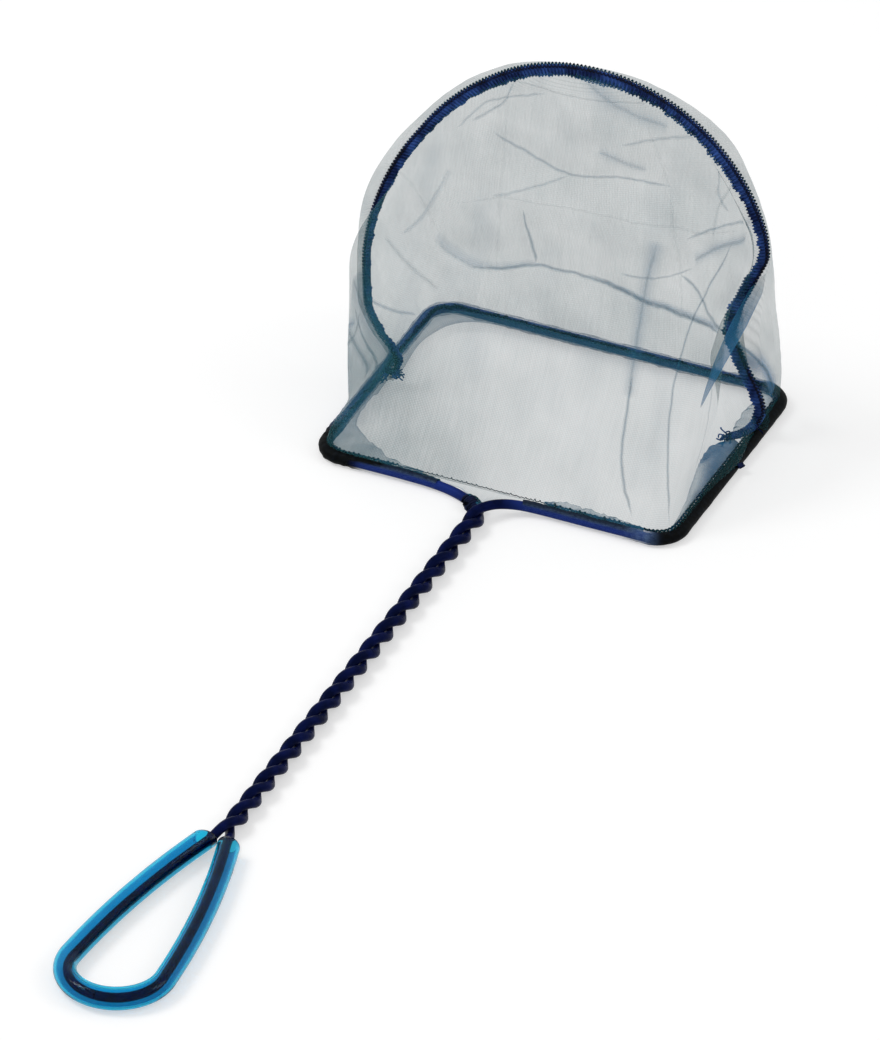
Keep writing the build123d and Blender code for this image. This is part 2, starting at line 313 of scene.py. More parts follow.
def hemMesh():
    # net doubled over the rails: light blue; painted shade turns it nearly black at the outer corners, on the right
    # rail and on top of the front rail, and it thins to the wire on the front rail's lit lower side
    material, tree, shader = newMaterial("hemMesh")
    cloth = coordinates(tree, "UV")
    shadeBlack = carried(tree, "shadeBlack")
    litSide = carried(tree, "litSide")
    grain = noise(tree, cloth, 1.0, 4.0, (900.0, 700.0, 1.0))
    blue = mixColours(tree, ramp(tree, grain, 0.3, 0.7, 0.0, 1.0), (0.08, 0.15, 0.34, 1), (0.16, 0.26, 0.48, 1))
    # painted shade: near black for the hem's shaded corners and rails
    paintedShade = mixColours(tree, ramp(tree, grain, 0.4, 0.75, 0.0, 1.0), (0.0015, 0.002, 0.002, 1), (0.004, 0.006, 0.009, 1))
    cover = math(tree, "ADD", ramp(tree, grain, 0.25, 0.75, 0.16, 0.52), math(tree, "MULTIPLY", shadeBlack, 0.8))
    thinned = math(tree, "MULTIPLY", cover, ramp(tree, litSide, 0.0, 1.0, 1.0, 0.12))
    feed(tree, shader, {
        "Base Color": mixColours(tree, shadeBlack, blue, paintedShade),
        "Alpha": math(tree, "MINIMUM", thinned, 1.0),
        "Roughness": 0.5, "IOR": 1.15, "Specular IOR Level": 0.3,
        "Normal": bump(tree, grain, 0.4, 0.0003)})
    return material


def seamThread(name, deep, pale):
    # spun thread: fibres across its run, tone changing from stitch to stitch
    material, tree, shader = newMaterial(name)
    spot = coordinates(tree, "Object")
    fibres = noise(tree, spot, 5200.0, 2.0)
    tones = noise(tree, spot, 260.0, 4.0)
    feed(tree, shader, {
        "Base Color": mixColours(tree, ramp(tree, tones, 0.38, 0.66, 0.0, 1.0), deep, pale),
        "Roughness": 0.75, "Specular IOR Level": 0.15,
        "Normal": bump(tree, fibres, 0.5, 0.0001)})
    return material


# Wire: loop, twist, hoop, twist and loop again in one length

# in mm and degrees; -1 stands for the left side, 1 for the right one
wire = {"radius": 1.3, "mouthDepth": 75.0, "cornerRadius": 7.0, "flareStart": {-1: 30.0, 1: 17.0}, "flareDrop": 9.0,
        "pitch": 16.0, "halfTurns": 19, "strandRadius": 1.36, "railHeight": 1.8, "handleHeight": 2.66,
        "neck": 8.0, "inset": 0.8, "endGap": 0.3, "sides": 14, "step": 0.6, "lumps": 0.03}
loop = {"length": 72.0, "endRadius": 13.0, "armLean": 3.0, "radius": 3.0, "bore": 2.2, "endGap": 0.8, "height": 3.0,
        "sides": 32, "step": 0.8, "slant": {-1: 1.6, 1: 0.5}}

wireHigh = np.array(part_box("wire_frame")[1]) / mm
railX = wireHigh[0] - wire["radius"]
rearY = wireHigh[1] - wire["radius"]
frontY = rearY - wire["mouthDepth"]
mouthY = (rearY + frontY) / 2
twistStartY = frontY - wire["flareDrop"]
twistEndY = twistStartY - wire["halfTurns"] * wire["pitch"] / 2
sleeveStartY = twistEndY - wire["neck"]
loopCentreY = sleeveStartY - loop["length"] + loop["endRadius"]


def hoopLine(height):
    # the rails with their four rounded corners, from the left bend round the back to the right bend
    radius = wire["cornerRadius"]
    x = railX - radius
    return np.concatenate([
        [(-wire["flareStart"][-1], frontY, height)],
        arcPoints((-x, frontY + radius), radius, 270, 180, height),
        arcPoints((-x, rearY - radius), radius, 180, 90, height),
        arcPoints((x, rearY - radius), radius, 90, 0, height),
        arcPoints((x, frontY + radius), radius, 0, -90, height),
        [(wire["flareStart"][1], frontY, height)]])


def strand(side):
    # right-handed helix about the handle's axis; side picks the strand that starts on top or beneath
    turn = np.linspace(0, wire["halfTurns"] * np.pi, wire["halfTurns"] * 24)
    angle = side * np.pi / 2 + turn
    return np.stack([wire["strandRadius"] * np.cos(angle), twistStartY - wire["pitch"] * turn / (2 * np.pi),
                     wire["handleHeight"] + wire["strandRadius"] * np.sin(angle)], -1)


def loopHalf(side, inset, height, endGap):
    # far bend, then an arc that meets it smoothly and runs to the sleeve's open end
    radius = loop["endRadius"] - inset
    lean = loop["armLean"]
    gapAngle = np.degrees(endGap / 2 / radius)
    bend = arcPoints((0, loopCentreY), radius, -90 + gapAngle, lean, height)
    start = bend[-1, :2]
    end = np.array([loop["radius"] + loop["endGap"] / 2 - inset, sleeveStartY])
    leave = np.array([-np.sin(np.radians(lean)), np.cos(np.radians(lean))])
    inward = np.array([-leave[1], leave[0]])
    chord = end - start
    armRadius = chord @ chord / (2 * chord @ inward)
    centre = start + inward * armRadius
    sweep = 2 * np.arcsin(np.linalg.norm(chord) / (2 * armRadius))
    arm = arcPoints(centre, armRadius, lean, lean + np.degrees(sweep), height)
    half = np.concatenate([bend, arm[1:]])
    return half * (side, 1, 1)


def wireHalf(side):
    # from the front rail to the cut end in the loop
    twist = strand(side)
    flareStart = np.array([side * wire["flareStart"][side], frontY, wire["railHeight"]])
    flare = bridge(flareStart, np.array([-side, 0, 0]), twist[0], unit(twist[1] - twist[0]))
    leave = unit(twist[-1] - twist[-2])
    arm = loopHalf(np.sign(leave[0]), wire["inset"], wire["handleHeight"], wire["endGap"])[::-1]
    neck = bridge(twist[-1], leave, arm[0], unit(arm[1] - arm[0]))
    return np.concatenate([flare[1:-1], twist, neck[1:-1], arm])


wireLine = evenPath(np.concatenate([wireHalf(-1)[::-1], hoopLine(wire["railHeight"]), wireHalf(1)]), wire["step"])
wireAlong = np.arange(len(wireLine)) * wire["step"]
wireGirth = wire["radius"] * (1 + wire["lumps"] * waves(wireAlong, 0, 9, 5.0, 60.0, 3) * 0.5)
# painted light: 1 along the hoop, where the coat is given a brighter blue than on the handle
litHoop = np.repeat(smooth((wireLine[:, 1] - frontY + 5) / 5)[:, None], wire["sides"], 1)
coatedWire = addTube("coatedWire", wireLine, wireGirth, wire["sides"], (0, 0, 1), values={"hoop": litHoop})
mount(coatedWire, wireCoat(), "vinyl_coated_wire", "wire_frame")

sleeveLine = np.concatenate([loopHalf(-1, 0, loop["height"], 0)[::-1], loopHalf(1, 0, loop["height"], 0)[1:]])
sleeveLine = evenPath(sleeveLine, loop["step"])


def sleeveWall(radius):
    # tube rings whose two ends are cut at a slant
    rings = tubeRings(sleeveLine, radius, loop["sides"], np.array((0, 0, 1.0)))
    angle = around(loop["sides"])
    for end, side in ((0, -1), (-1, 1)):
        tangent = unit(sleeveLine[0] - sleeveLine[1]) if end == 0 else unit(sleeveLine[-1] - sleeveLine[-2])
        rings[end] += np.outer(np.sin(angle) * loop["slant"][side] * radius / loop["radius"], tangent) * -1
    return rings


sleeveRings = np.concatenate([sleeveWall(loop["radius"]), sleeveWall(loop["bore"])[::-1]])
gripSleeve = addGrid("gripSleeve", sleeveRings, aroundClosed=True, alongClosed=True)
mount(gripSleeve, clearVinyl(), "clear_blue_vinyl", "grip_sleeve")
print("wire and sleeve made")


# Bag: the arch, and the net between rails and arch

# in mm and degrees; -1 stands for the front panel, 1 for the rear one
bag = {"height": 109.0, "halfWidth": 54.0, "rise": 65.0, "foot": 50.0, "turn": 9.6, "setback": 8.5, "onset": 0.7,
       "crownDepth": {-1: 0.6, 1: 2.0}, "inset": {-1: 4.2, 1: 0.0}, "belly": 1.2, "bottom": 4.1, "edge": 3.6, "lean": 2.6,
       "columns": 380, "rows": 220, "seed": {-1: 21, 1: 31}, "seamDrop": 1.5, "sewnDrop": {-1: -1.3, 1: 1.5},
       "sewnGap": 0.15, "drawnFrom": 0.965, "drawnRun": 0.035, "sewnShade": {-1: 0.06, 1: 0.2},
       "railPower": 14.0, "archPower": {-1: 1.5, 1: 3.1}, "squareFade": 4, "ripple": 0.3, "ribbonWidth": 1.15}
# painted shade: the front panel is made denser low on its left, for the darker left of the mouth: bounds in mm, and how
# far they fade
leftShadeBounds = {"right": 12.0, "rightFade": 45.0, "top": 44.0, "topFade": 20.0, "left": -52.0, "leftFade": 22.0,
            "leftLeast": 0.4}
archTurn = np.radians(bag["turn"])
archAcross = np.array([np.cos(archTurn), np.sin(archTurn), 0])
archFront = np.array([np.sin(archTurn), -np.cos(archTurn), 0])
archMiddle = np.array([0, mouthY + bag["setback"], 0])
widestHeight = bag["height"] - bag["rise"]
# the seam strays from a clean arch: share of its length, mm to the right
seamStray = np.array([(0.0, 2.0), (0.02, 4.0), (0.045, 0.0), (0.075, -2.8), (0.14, -2.6), (0.2, -1.0), (0.3, 1.5),
                      (0.4, 1.5), (0.5, -0.5), (0.6, 0.5), (0.77, 1.4), (0.8, 0.6), (0.825, -3.0), (0.86, -7.0),
                      (0.895, -8.4), (0.93, -3.9), (0.96, 1.0), (0.98, 3.2), (1.0, 2.0)])
# where the bag swells past its even form: panel, side, mm out, height and spread in mm
swells = [(1, -1, 3.0, 52.0, 22.0), (1, 1, -1.6, 32.0, 16.0), (-1, -1, 5.4, 47.0, 22.0),
          (-1, -1, -1.4, 12.0, 7.0), (1, 1, 5.0, 96.0, 15.0)]
# deep creases of a net that was packed flat: points across and up a panel, and how far the net stands out there
creaseReach = 11.0
deepCreases = {
    -1: [(((-34, 58), (-3, 59), (28, 56), (48, 49)), -2.5), (((-23, 88), (2, 81), (30, 81)), -2.0),
         (((28, 68), (28, 47), (32, 18)), 2.5), (((46, 66), (40, 44), (44, 18)), 2.5)],
    1: [(((-40, 44), (-8, 52), (24, 48), (42, 56)), -2.5), (((-22, 84), (-26, 50), (-32, 18)), 2.5),
        (((16, 86), (22, 54), (20, 18)), 2.0)]}
# fine folds, and two broad bands low on the front's left that are painted shade: line over the unrolled panel, width at
# its start and end, how dark, and 1 or -1 for a band on one side of it
foldsAndShade = {
    -1: [(((-25, 87), (-11, 84), (2, 81), (17, 82), (33, 80)), 0.5, 0.45, 0.30, 0),
         (((-20, 73), (-8, 77), (2, 81)), 0.5, 0.4, 0.2, 0),
         (((-36, 58), (-28, 56), (-19, 55), (-11, 56.5), (-3, 59)), 3.6, 0.9, 0.15, 1),
         (((-22, 55), (-11, 56.5), (-3, 59), (12, 58), (29, 55), (50, 50), (58, 46)), 0.5, 0.75, 0.42, 0),
         (((12, 58), (29, 55), (50, 50), (58, 46)), 0.6, 2.2, 0.30, 1),
         (((-9, 72), (-5, 64), (-3, 59)), 0.35, 0.8, 0.42, 0),
         (((31, 69), (29.5, 58), (29, 47), (29.5, 34)), 2.6, 1.5, 0.22, 0),
         (((29.5, 40), (30, 28), (32, 17), (38, 6)), 1.0, 0.45, 0.42, 0),
         (((56, 68), (50, 57), (42, 43), (42, 29), (46, 14), (50, 5)), 0.5, 0.45, 0.40, 0),
         (((40, 61), (47, 57), (52, 51), (60, 46)), 0.45, 0.6, 0.40, 0),
         (((21, 60), (32, 60), (39, 61), (44, 62)), 0.4, 0.4, 0.26, 0),
         (((40, 69), (44, 70), (56, 72), (65, 68)), 0.5, 0.5, 0.30, 0),
         (((44, 64), (52, 67), (61, 67)), 1.5, 0.8, 0.22, 0),
         (((47, 88), (48, 82), (48, 78), (53, 74)), 0.9, 0.4, 0.24, 0),
         (((-50, 41), (-40, 40.5), (-32, 42)), 0.6, 0.5, 0.32, 0),
         (((-47, 57), (-43, 61), (-39, 70), (-37, 76)), 0.8, 2.4, 0.12, -1),
         (((-38, 85), (-29, 94), (-20, 97), (-8, 100)), 0.5, 0.4, 0.24, 0),
         (((-19, 101), (-21, 96), (-26, 92), (-33, 88)), 0.5, 0.6, 0.26, 0),
         (((15, 90), (24, 92), (33, 93), (43, 91)), 0.8, 0.5, 0.22, 0),
         (((27, 99), (35, 94)), 0.35, 0.4, 0.32, 0),
         (((9, 88), (15, 86), (24, 84)), 1.2, 0.8, 0.14, 0),
         (((3, 104), (14, 98), (28, 95)), 2.0, 1.2, 0.16, 0),
         (((56, 36), (58, 28), (60, 14)), 0.6, 0.5, 0.22, 0),
         (((-70, 12), (-66, 22), (-60, 30), (-52, 34)), 1.8, 1.2, 0.26, 0),
         # partly net lying double, partly painted shade on the low left wall
         (((-88, 6), (-80, 18), (-72, 36)), 9.0, 8.0, 0.26, 0),
         # painted shade: the darker floor inside the mouth near the left rail
         (((-56, 34), (-50, 22), (-46, 10)), 12.0, 10.0, 0.07, 0),
         (((-74, 26), (-66, 24), (-58, 26)), 0.8, 0.6, 0.3, 0),
         (((-80, 6), (-72, 16), (-70, 30)), 1.2, 0.8, 0.28, 0)],
    1: [(((-40, 44), (-8, 52), (24, 48), (44, 56)), 0.6, 0.5, 0.08, 0),
        (((-22, 84), (-26, 50), (-32, 18)), 0.6, 0.9, 0.06, 0),
        (((16, 86), (22, 54), (20, 18)), 0.7, 0.5, 0.06, 0),
        (((82, 40), (78, 32), (74, 24), (63, 9)), 1.4, 2.6, 0.55, 0),
        (((70, 60), (76, 44), (80, 34)), 1.2, 2.2, 0.3, 0),
        (((-60, 62), (-50, 50), (-46, 30)), 0.8, 0.6, 0.06, 0),
        (((-66, 34), (-60, 20), (-50, 8)), 0.7, 1.4, 0.1, 0),
        (((-20, 96), (0, 92), (18, 95)), 0.5, 0.5, 0.18, 0),
        (((44, 74), (36, 62), (34, 50)), 0.5, 0.8, 0.18, 0)]}


def halfWidthAt(height, inset=0.0):
    # half ellipse on two legs that lean out, drawn in by an inset that fades towards the rails
    rise = height - widestHeight
    legHeight, legLean = widestHeight - bag["bottom"], bag["halfWidth"] - bag["foot"]
    legRadius = (legHeight**2 + legLean**2) / (2 * legLean)
    crown = (bag["halfWidth"] - inset) * np.sqrt(np.clip(1 - (np.maximum(rise, 0) / (bag["rise"] - inset))**2, 0, 1))
    leg = bag["halfWidth"] - legRadius + np.sqrt(legRadius**2 - np.clip(rise, -legHeight, 0)**2)
    return np.where(rise > 0, crown, leg - inset * smooth((height - bag["bottom"]) / 12))


def archLine(count, inset=0.0):
    # even points from the left foot over the top to the right foot, in the arch's own plane
    legs = np.linspace(bag["edge"], widestHeight, 60)[:-1]
    angle = np.linspace(0, np.pi, 400)
    left = np.stack([-halfWidthAt(legs, inset), 0 * legs, legs], -1)
    across, up = bag["halfWidth"] - inset, bag["rise"] - inset
    crown = np.stack([-across * np.cos(angle), 0 * angle, widestHeight + up * np.sin(angle)], -1)
    return evenPoints(np.concatenate([left, crown, (left * (-1, 1, 1))[::-1]]), count)


def archInward(local):
    # direction in the arch's plane from the rim to the bag's inside
    return unit(np.stack([np.gradient(local[:, 2]), 0 * local[:, 0], -np.gradient(local[:, 0])], -1))


def strayAt(share):
    # smooth curve through the strays: a moving average of the straight runs between them
    fine = np.linspace(-0.1, 1.1, 1201)
    straight = np.interp(fine, seamStray[:, 0], seamStray[:, 1])
    return np.interp(share, fine, np.convolve(straight, averaging(25), "same"))


def archInSpace(local, strayShare=1.0, share=None):
    # plane of the arch to the frame, with the bag's lean to the right and the seam's strays
    share = np.linspace(0, 1, len(local)) if share is None else share
    stray = strayAt(share) * strayShare
    lean = bag["lean"] * np.clip((local[:, 2] - bag["bottom"]) / (bag["height"] - bag["bottom"]), 0, 1)
    across = local[:, 0] + stray + lean
    return archMiddle + across[:, None] * archAcross + local[:, 1:2] * archFront + np.outer(local[:, 2], (0, 0, 1))


def sectionAt(height, side):
    # the bag at a level: a squarish ellipse that turns and narrows towards the arch
    inset = bag["inset"][side]
    share = np.clip((height - bag["bottom"]) / (bag["height"] - inset - bag["bottom"]), 0, 1)
    depth = bag["crownDepth"][side] + (wire["mouthDepth"] / 2 - bag["crownDepth"][side]) * (1 - share**bag["belly"])
    power = bag["archPower"][side] + (bag["railPower"] - bag["archPower"][side]) * (1 - share)**bag["squareFade"]
    return share, np.maximum(halfWidthAt(height, inset), 0.5), depth, power


def archShare(across, height):
    # how far along the arch the nearest place of it lies
    def measure(x, z):
        low = (np.minimum(z, widestHeight) - widestHeight) / bag["rise"]
        swing = np.arctan2(np.maximum(z - widestHeight, 0) / bag["rise"], -x / bag["halfWidth"])
        return np.where(x < 0, swing + low, swing - low)
    line = archLine(600)
    return np.interp(measure(across, height), measure(line[:, 0], line[:, 2]), np.linspace(0, 1, 600))


def bagPlace(a, b, height, side):
    # section coordinates, as shares of half width and half depth, to the frame, with the way out and the unrolled place
    share, halfWidth, halfDepth, power = sectionAt(height, side)
    turned = share**bag["onset"]
    turn = archTurn * turned
    reach = np.maximum((np.abs(a)**power + np.abs(b)**power)**(1 / power), 1e-4)
    a, b = a / reach, b / reach
    out = unit(np.stack([np.sign(a) * np.abs(a)**(power - 1) / halfWidth,
                         np.sign(b) * np.abs(b)**(power - 1) / halfDepth], -1))
    a, b = a * halfWidth, b * halfDepth
    stray = strayAt(archShare(a, height)) * np.exp(-(b / 9.0)**2)
    for panel, hand, amount, centre, spread in swells:
        if panel == side:
            wall = np.clip(hand * a / halfWidth, 0, 1)**4 * (1 - np.exp(-(b / 4.0)**2))
            stray = stray + hand * amount * wall * np.exp(-((height - centre) / spread)**2)
    cosine, sine = np.cos(turn), np.sin(turn)
    x = a * cosine - b * sine + bag["lean"] * share + stray * archAcross[0]
    y = a * sine + b * cosine + mouthY + bag["setback"] * turned + stray * archAcross[1]
    outward = np.stack([out[..., 0] * cosine - out[..., 1] * sine,
                        out[..., 0] * sine + out[..., 1] * cosine, 0 * a], -1)
    unrolled = np.stack([np.sign(a) * (np.abs(a) + halfDepth - np.abs(b)), height + 0 * a], -1)
    return np.stack([x, y, height + 0 * a], -1), outward, a, np.abs(out[..., 1]), unrolled


def ontoBag(points, side):
    # pushes points sideways on to the bag
    share, halfWidth, halfDepth, _ = sectionAt(points[..., 2], side)
    turned = share**bag["onset"]
    turn = archTurn * turned
    x = points[..., 0] - bag["lean"] * share
    y = points[..., 1] - mouthY - bag["setback"] * turned
    a = (x * np.cos(turn) + y * np.sin(turn)) / halfWidth
    b = (y * np.cos(turn) - x * np.sin(turn)) / halfDepth
    return bagPlace(a, b, points[..., 2], side)


def fromUnrolled(unrolled, side):
    # place on the bag of points of the unrolled panel
    angle = np.linspace(0.002, np.pi - 0.002, 241)[:, None]
    height = unrolled[:, 1]
    _, halfWidth, halfDepth, power = sectionAt(height, side)
    a, b = -np.cos(angle) + 0 * height, side * np.sin(angle) + 0 * height
    reach = (np.abs(a)**power + np.abs(b)**power)**(1 / power)
    across, depth = a / reach * halfWidth, np.abs(b) / reach * halfDepth
    table = np.sign(across) * (np.abs(across) + halfDepth - depth)
    found = np.array([np.interp(x, table[:, k], angle[:, 0]) for k, x in enumerate(unrolled[:, 0])])
    return bagPlace(-np.cos(found), side * np.sin(found), height, side)


def railEven(side, count):
    # half of the hoop from the left foot of the arch to the right one, by the front (-1) or rear (1) rail
    footY = [mouthY + bag["setback"] + s * railX * np.tan(archTurn) for s in (-1, 1)]
    radius, x = wire["cornerRadius"], railX - wire["cornerRadius"]
    railY = frontY if side < 0 else rearY
    left = arcPoints((-x, railY - side * radius), radius, 180, 180 - side * 90, bag["edge"])
    right = arcPoints((x, railY - side * radius), radius, side * 90, 0, bag["edge"])
    line = np.concatenate([[(-railX, footY[0], bag["edge"])], left, right, [(railX, footY[1], bag["edge"])]])
    line = evenPath(line, 0.2)
    pick = np.linspace(0, len(line) - 1, count)
    return between(pick, np.arange(len(line)), line)


def roundedLine(line, times=3):
    # cuts the corners of a line until it is smooth
    line = np.asarray(line, float)
    for _ in range(times):
        start, end = line[:-1], line[1:]
        cut = np.stack([0.75 * start + 0.25 * end, 0.25 * start + 0.75 * end], 1).reshape(-1, 2)
        line = np.concatenate([line[:1], cut, line[-1:]])
    return line


def lineGap(places, line):
    # distance from places to a line, which side they lie on, and how far along it
    gap = np.full(places.shape[:-1], 1e9)
    side, share = 0 * gap, 0 * gap
    for k, (start, end) in enumerate(zip(line[:-1], line[1:])):
        run = end - start
        rel = places - start
        t = np.clip(rel @ run / (run @ run), 0, 1)
        away = np.linalg.norm(rel - t[..., None] * run, axis=-1)
        closer = away < gap
        gap = np.where(closer, away, gap)
        side = np.where(closer, np.sign(run[0] * rel[..., 1] - run[1] * rel[..., 0]), side)
        share = np.where(closer, (k + t) / (len(line) - 1), share)
    return gap, side, share


def creaseLift(side, across, height):
    # tent-shaped ridges and valleys along the deep creases
    lift = 0 * across
    for line, standOut in deepCreases[side]:
        gap = lineGap(np.stack([across, height], -1), np.asarray(line, float))[0]
        lift = lift + standOut * np.clip(1 - gap / creaseReach, 0, 1)
    return lift


def softFoldsAndShade(side, unrolled):
    # how dark the broad folds show, where net lies double, and the broad bands of painted shade low on the front's left
    shade = 0 * unrolled[..., 0]
    for line, startWidth, endWidth, dark, band in foldsAndShade[side]:
        if max(startWidth, endWidth) < bag["ribbonWidth"]:
            continue
        gap, onSide, share = lineGap(unrolled, roundedLine(line))
        width = startWidth + (endWidth - startWidth) * share
        fade = np.clip(np.minimum(share, 1 - share) / 0.12, 0, 1)**0.7
        if band:
            shade = np.maximum(shade, dark * fade * smooth((width - gap) / (0.7 * width)) * (onSide == band))
        else:
            shade = np.maximum(shade, dark * fade * np.exp(-(gap / width)**2))
    return shade


def panelRelief(side, across, facing, unrolled, seed):
    # deep creases and small ripples, in mm out from the bag
    x, z = unrolled[..., 0], unrolled[..., 1]
    ripple = waves(x, z, 20, 12, 55, seed) + 0.3 * waves(x, z, 16, 4, 10, seed + 1)
    return (creaseLift(side, across, z) + bag["ripple"] * ripple) * facing * smooth((z - bag["edge"]) / 9)


def makePanel(name, side, material, node):
    # lines from a rail to the arch, laid on the bag, creased, and drawn in at the rim to the seam
    columns, rows, seed = bag["columns"], bag["rows"], bag["seed"][side]
    u = np.linspace(0, 1, columns)[None]
    v = np.linspace(0, 1, rows)[:, None]
    rail, local = railEven(side, columns), archLine(columns, bag["inset"][side])
    straight = (1 - v[..., None]) * rail + v[..., None] * archInSpace(local, 0.0)
    place, outward, across, facing, unrolled = ontoBag(straight, side)
    held = smooth((1 - v) / 0.06) * smooth(u / 0.03) * smooth((1 - u) / 0.03)  # 0 at the seam
    points = place + outward * (panelRelief(side, across, facing, unrolled, seed) * held)[..., None]
    sewn = archInSpace(local + archInward(local) * bag["sewnDrop"][side]) + archFront * (-side * bag["sewnGap"])
    drawnIn = smooth((v - bag["drawnFrom"]) / bag["drawnRun"])[..., None]
    points = points * (1 - drawnIn) + sewn * drawnIn
    sewnShade = bag["sewnShade"][side] * smooth((v - 0.98) / 0.02)
    shade = np.maximum(softFoldsAndShade(side, unrolled) * smooth(v / 0.03), sewnShade)
    shade = shade + 0.04 * np.clip(waves(unrolled[..., 0], unrolled[..., 1] * 0.4, 14, 8, 30, seed + 2), 0, 2)
    # painted shade: denser net low on the front's left, fading to the right, upwards and at the far left
    x, z, least = points[..., 0], points[..., 2], leftShadeBounds["leftLeast"]
    leftShade = smooth((leftShadeBounds["right"] - x) / leftShadeBounds["rightFade"]) * smooth((leftShadeBounds["top"] - z) / leftShadeBounds["topFade"])
    leftShade = leftShade * (least + (1 - least) * smooth((x - leftShadeBounds["left"]) / leftShadeBounds["leftFade"])) * (side < 0)
    turned = slice(None) if side > 0 else slice(None, None, -1)
    values = {"fold": shade[:, turned], "leftShade": leftShade[:, turned]}
    piece = addGrid(name, points[:, turned], uv=unrolled[:, turned], values=values)
    return mount(piece, material, "net_mesh", node)


def makeCreases(name, side, seed, material):
    # sharp folds: narrow ribbons of doubled net lying on the panel; the bands of painted shade get such ribbons too
    points, faces, shades, uvs, first = [], [], [], [], 0
    columns = 9
    cross = np.linspace(-1, 1, columns)
    for line, startWidth, endWidth, dark, _ in foldsAndShade[side]:
        curve = roundedLine(line)
        along = lengthAlong(curve)
        count = int(along[-1] / 0.5) + 2
        share = np.linspace(0, 1, count)
        wanted = share * along[-1]
        wobble = np.stack([waves(wanted, 0, 6, 3, 14, seed + first + k) for k in (0, 1)], -1)
        curve = between(wanted, along, curve) + 0.1 * wobble
        way = unit(np.gradient(curve, axis=0))
        width = np.minimum(startWidth + (endWidth - startWidth) * share, 0.6) * 1.3
        taper = np.clip(np.minimum(share, 1 - share) / 0.1, 0.02, 1)**0.6
        across = np.stack([-way[:, 1], way[:, 0]], -1)
        spots = curve[:, None] + across[:, None] * (cross[None, :, None] * (width * taper)[:, None, None])
        flat = spots.reshape(-1, 2)
        place, outward, a, facing, unrolled = fromUnrolled(flat, side)
        lift = panelRelief(side, a, facing, unrolled, bag["seed"][side]) + 0.15
        points.append(place + outward * lift[:, None])
        shades.append((0.8 * dark * taper[:, None] * (np.exp(-(2 * cross[None])**2) - np.exp(-4))).ravel())
        uvs.append(flat)
        faces.append(gridFaces(first + np.arange(count * columns).reshape(count, columns)))
        first += count * columns
    values = {"fold": np.concatenate(shades)}
    piece = addMesh(name, np.concatenate(points), np.concatenate(faces).tolist(), np.concatenate(uvs), values)
    return mount(piece, material, "net_mesh")


netCloth = netMesh("netMesh", 0.262, 0.85, (0.015, 0.105, 0.12, 1), (0.02, 0.15, 0.31, 1))
frontNet = makePanel("frontNet", -1, netCloth, "front_panel")
rearNet = makePanel("rearNet", 1, netCloth, "rear_panel")
creaseCloth = netMesh("creaseCloth", 0.0, 1.5, (0.015, 0.14, 0.21, 1), (0.012, 0.12, 0.22, 1))
frontCreases = makeCreases("frontCreases", -1, 200, creaseCloth)
rearCreases = makeCreases("rearCreases", 1, 300, creaseCloth)

# fold that leaves the rear panel, crosses the seam's right leg and lies down on the front panel:
# its middle line, half width at each of its points, and the way it faces
overFold = {"line": [(51.9, 138.5, 52.3), (50.0, 137.1, 47.4), (47.2, 132.3, 39.0), (49.2, 121.0, 40.1),
                     (50.3, 112.0, 39.5), (49.8, 106.9, 35.6), (49.2, 103.1, 31.3)],
            "half": [0.1, 1.7, 2.0, 1.7, 1.3, 0.7, 0.1], "facing": (0.34, -0.75, 0.57), "rows": 90, "columns": 13}


def overFoldPiece(material):
    # arched band of net square to the way it faces, along a line smoothed by a moving average
    share = np.linspace(0, 1, overFold["rows"])
    spots = np.linspace(0, 1, len(overFold["half"]))
    line = between(share, spots, np.array(overFold["line"]))
    padded = np.concatenate([np.repeat(line[:1], 7, 0), line, np.repeat(line[-1:], 7, 0)])
    line = np.stack([np.convolve(padded[:, k], averaging(15), "valid") for k in range(3)], -1)
    half = np.interp(share, spots, overFold["half"])
    facing = np.array(overFold["facing"])
    across = unit(np.cross(unit(np.gradient(line, axis=0)), facing))
    t = np.linspace(-1, 1, overFold["columns"])
    points = line[:, None] + across[:, None] * (t[None, :, None] * half[:, None, None])
    points = points + facing * (0.8 * (1 - t**2)[None, :, None] * half[:, None, None] * 0.4)
    shade = 0.45 + 0.15 * np.abs(t)[None]**8 + 0 * half[:, None]
    uv = np.stack(np.broadcast_arrays(share[:, None] * 40, t[None] * half[:, None]), -1)
    fade = (smooth(share / 0.3) * smooth((1 - share) / 0.05))[:, None]
    piece = addGrid("overFold", points[:, ::-1], uv=uv, values={"fold": shade * fade})
    return mount(piece, material, "net_mesh")


overFoldCloth = overFoldPiece(netCloth)
print("net made")


# Seam: folded net edge wrapped by overlock thread

seam = {"width": 3.2, "thickness": 0.7, "pitch": 1.05, "thread": 0.24, "steps": 10, "sides": 5, "ragged": 0.5,
        "coreSteps": 420, "coreSides": 14, "chain": 0.42, "chainThread": 0.2,
        "picots": [(0.5, 0.55), (0.6, 0.71)], "picotThread": 0.15}
# how wide the seam shows along its length: share of the length, share of the width
seamGirth = np.array([(0, 0.5), (0.06, 0.55), (0.2, 0.62), (0.3, 0.85), (0.4, 1.0), (0.55, 1.1), (0.68, 1.0),
                      (0.74, 0.85), (0.79, 0.84), (0.83, 0.95), (0.9, 1.12), (0.965, 1.1), (1, 0.6)])


def seamFrame(count):
    # places along the arch, the way in from each, and their shares of its length
    local = archLine(count)
    return local, archInward(local), np.linspace(0, 1, count)


def seamPlace(local, inward, drop, front):
    # a place in the seam: drop is mm in from the arch, front is mm towards the handle
    moved = local + inward * drop[:, None]
    moved[:, 1] += front
    return archInSpace(moved)


archLength = np.linalg.norm(np.diff(archLine(800), axis=0), axis=1).sum()
stitches = int(archLength / seam["pitch"])


